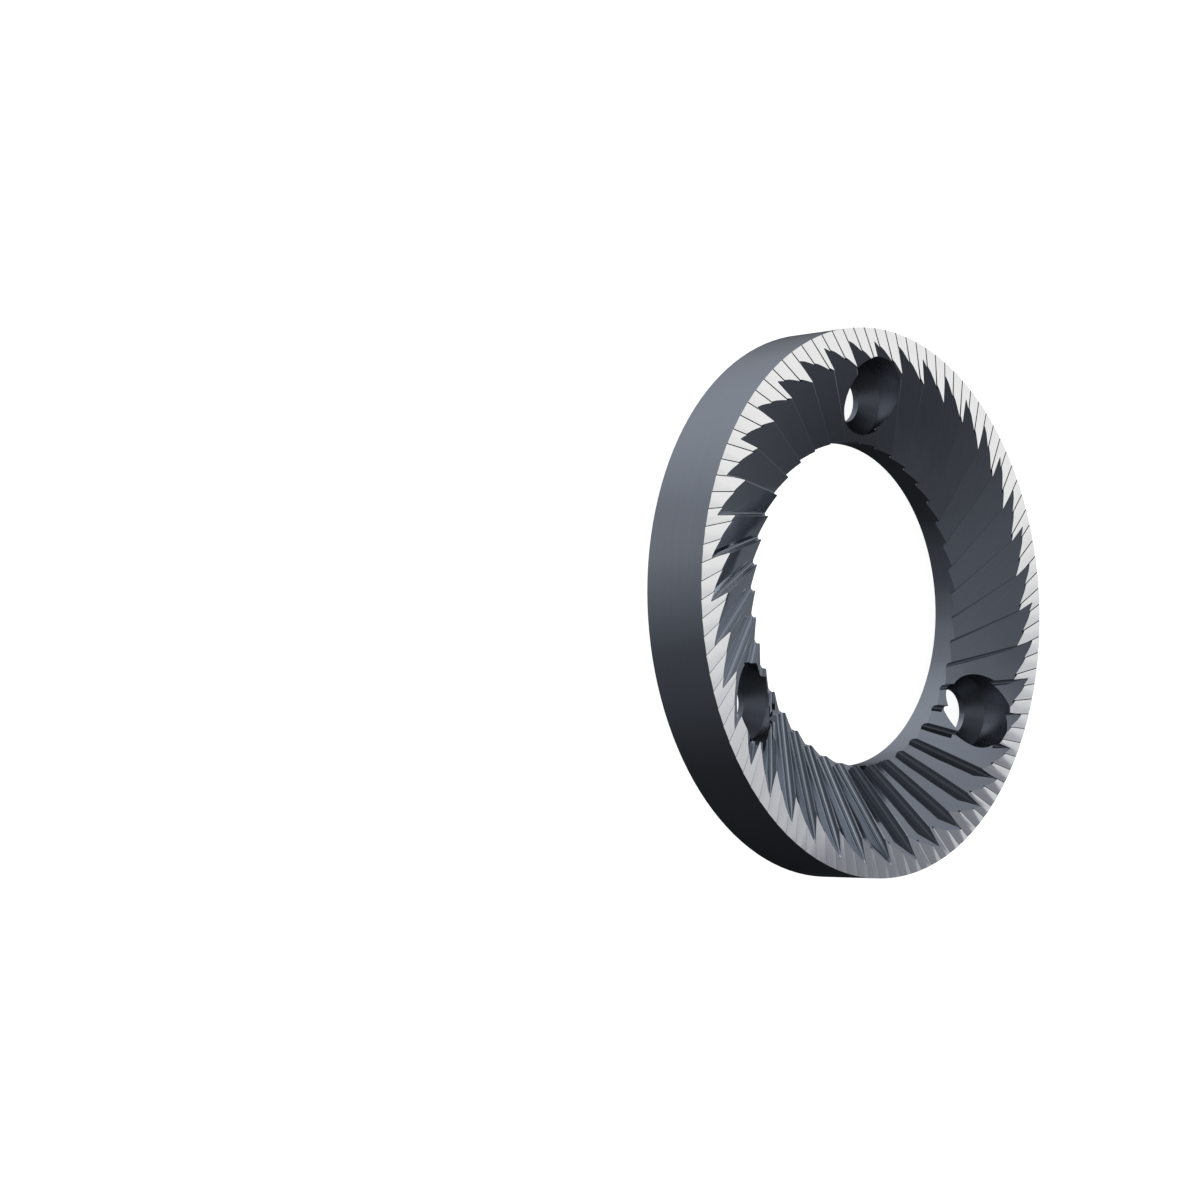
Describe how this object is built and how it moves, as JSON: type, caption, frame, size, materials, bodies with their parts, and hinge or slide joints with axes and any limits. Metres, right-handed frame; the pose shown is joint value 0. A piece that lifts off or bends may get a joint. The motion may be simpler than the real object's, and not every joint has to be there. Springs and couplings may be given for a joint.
{
  "type": "coffee grinder burr",
  "caption": "Flat grinding burr: a steel ring with angled coarse teeth, fine saw teeth at the rim and recessed screw holes.",
  "frame": {"origin": "centre of the back seat ring, on the surface the burr lies on", "axes": "+Z along the bore axis, out of the toothed face; +X through one screw hole"},
  "size_m": [0.064, 0.064, 0.0081],
  "materials": {
    "steel": "satin"
  },
  "bodies": {
    "root": {"burr": "steel"}
  },
  "joints": []
}
